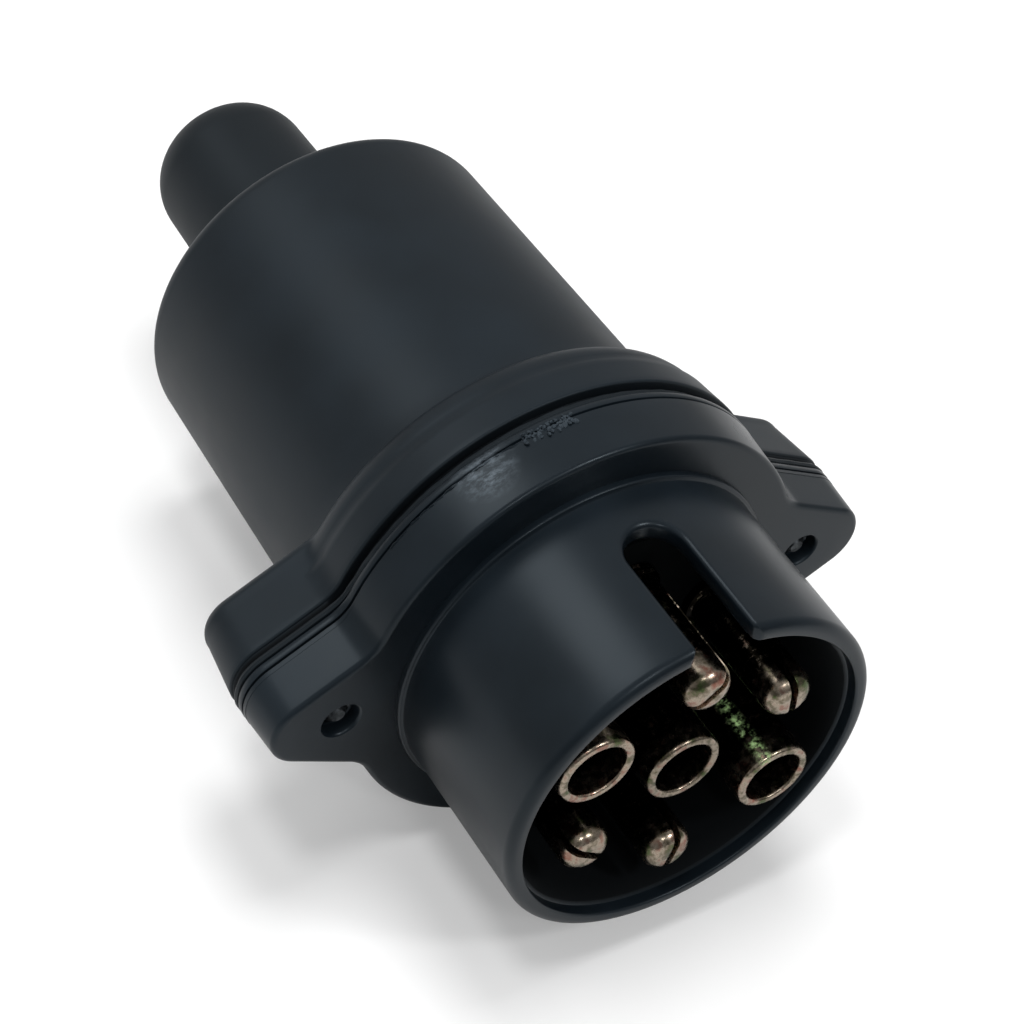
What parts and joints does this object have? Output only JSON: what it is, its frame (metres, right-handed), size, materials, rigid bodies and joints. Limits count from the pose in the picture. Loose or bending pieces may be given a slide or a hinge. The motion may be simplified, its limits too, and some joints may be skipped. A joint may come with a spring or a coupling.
{
  "type": "trailer wiring connector",
  "caption": "Round seven-contact trailer plug: keyed nose with split pins and sleeves, eared flanges with gasket and screws, rear cover and rubber cable boot.",
  "frame": {"origin": "centre of the mouth, in the plane of the nose's front edge", "axes": "+Y along the plug axis from the mouth to the cable end, +Z through the key slot, +X through the right-hand screw ear"},
  "size_m": [0.0732, 0.1095, 0.0538],
  "materials": {
    "shell_plastic": "moulded, satin",
    "insulator_plastic": "moulded, smooth",
    "plated_brass": "plated, tarnished",
    "screw_steel": "zinc plated",
    "seal_rubber": "moulded, matt"
  },
  "bodies": {
    "plug": {"front_shell": "shell_plastic", "contact_carrier": "insulator_plastic", "terminal_plate": "insulator_plastic", "pin_top": "plated_brass", "pin_upper_right": "plated_brass", "pin_bottom": "plated_brass", "pin_lower_left": "plated_brass", "sleeve_centre": "plated_brass", "sleeve_lower_right": "plated_brass", "sleeve_upper_left": "plated_brass", "flange_gasket": "seal_rubber", "rear_cover": "shell_plastic", "cable_boot": "seal_rubber"},
    "ear_screw_left": {"ear_screw_left": "screw_steel"},
    "ear_screw_right": {"ear_screw_right": "screw_steel"},
    "terminal_screw_1": {"terminal_screw_1": "screw_steel"},
    "terminal_screw_2": {"terminal_screw_2": "screw_steel"},
    "terminal_screw_3": {"terminal_screw_3": "screw_steel"},
    "terminal_screw_4": {"terminal_screw_4": "screw_steel"},
    "terminal_screw_5": {"terminal_screw_5": "screw_steel"},
    "terminal_screw_6": {"terminal_screw_6": "screw_steel"},
    "terminal_screw_7": {"terminal_screw_7": "screw_steel"},
    "clamp_bar": {"clamp_bar": "insulator_plastic"},
    "clamp_screw_left": {"clamp_screw_left": "screw_steel"},
    "clamp_screw_right": {"clamp_screw_right": "screw_steel"}
  },
  "joints": [
    {"name": "ear_screw_left_turn", "type": "hinge", "parent": "plug", "child": "ear_screw_left", "pos_m": [-0.0284, 0.0361, 0], "axis": [0, -1, 0], "continuous": true},
    {"name": "ear_screw_right_turn", "type": "hinge", "parent": "plug", "child": "ear_screw_right", "pos_m": [0.0284, 0.0361, 0], "axis": [0, -1, 0], "continuous": true},
    {"name": "terminal_screw_1_turn", "type": "hinge", "parent": "plug", "child": "terminal_screw_1", "pos_m": [0, 0.0345, 0.0128], "axis": [0, 0, -1], "continuous": true},
    {"name": "terminal_screw_2_turn", "type": "hinge", "parent": "plug", "child": "terminal_screw_2", "pos_m": [0.01109, 0.0345, 0.0064], "axis": [-0.866, 0, -0.5], "continuous": true},
    {"name": "terminal_screw_3_turn", "type": "hinge", "parent": "plug", "child": "terminal_screw_3", "pos_m": [0.01195, 0.0345, -0.0069], "axis": [-0.866, 0, 0.5], "continuous": true},
    {"name": "terminal_screw_4_turn", "type": "hinge", "parent": "plug", "child": "terminal_screw_4", "pos_m": [0, 0.0345, -0.0128], "axis": [0, 0, 1], "continuous": true},
    {"name": "terminal_screw_5_turn", "type": "hinge", "parent": "plug", "child": "terminal_screw_5", "pos_m": [-0.01109, 0.0345, -0.0064], "axis": [0.866, 0, 0.5], "continuous": true},
    {"name": "terminal_screw_6_turn", "type": "hinge", "parent": "plug", "child": "terminal_screw_6", "pos_m": [-0.01195, 0.0345, 0.0069], "axis": [0.866, 0, -0.5], "continuous": true},
    {"name": "terminal_screw_7_turn", "type": "hinge", "parent": "plug", "child": "terminal_screw_7", "pos_m": [0, 0.041, 0], "axis": [0, 0, -1], "continuous": true},
    {"name": "clamp_bar_close", "type": "slide", "parent": "plug", "child": "clamp_bar", "axis": [0, 0, -1], "range_m": [0, 0.0018]},
    {"name": "clamp_screw_left_turn", "type": "hinge", "parent": "clamp_bar", "child": "clamp_screw_left", "pos_m": [-0.0082, 0.0525, 0.0048], "axis": [0, 0, -1], "continuous": true},
    {"name": "clamp_screw_right_turn", "type": "hinge", "parent": "clamp_bar", "child": "clamp_screw_right", "pos_m": [0.0082, 0.0525, 0.0048], "axis": [0, 0, -1], "continuous": true}
  ]
}
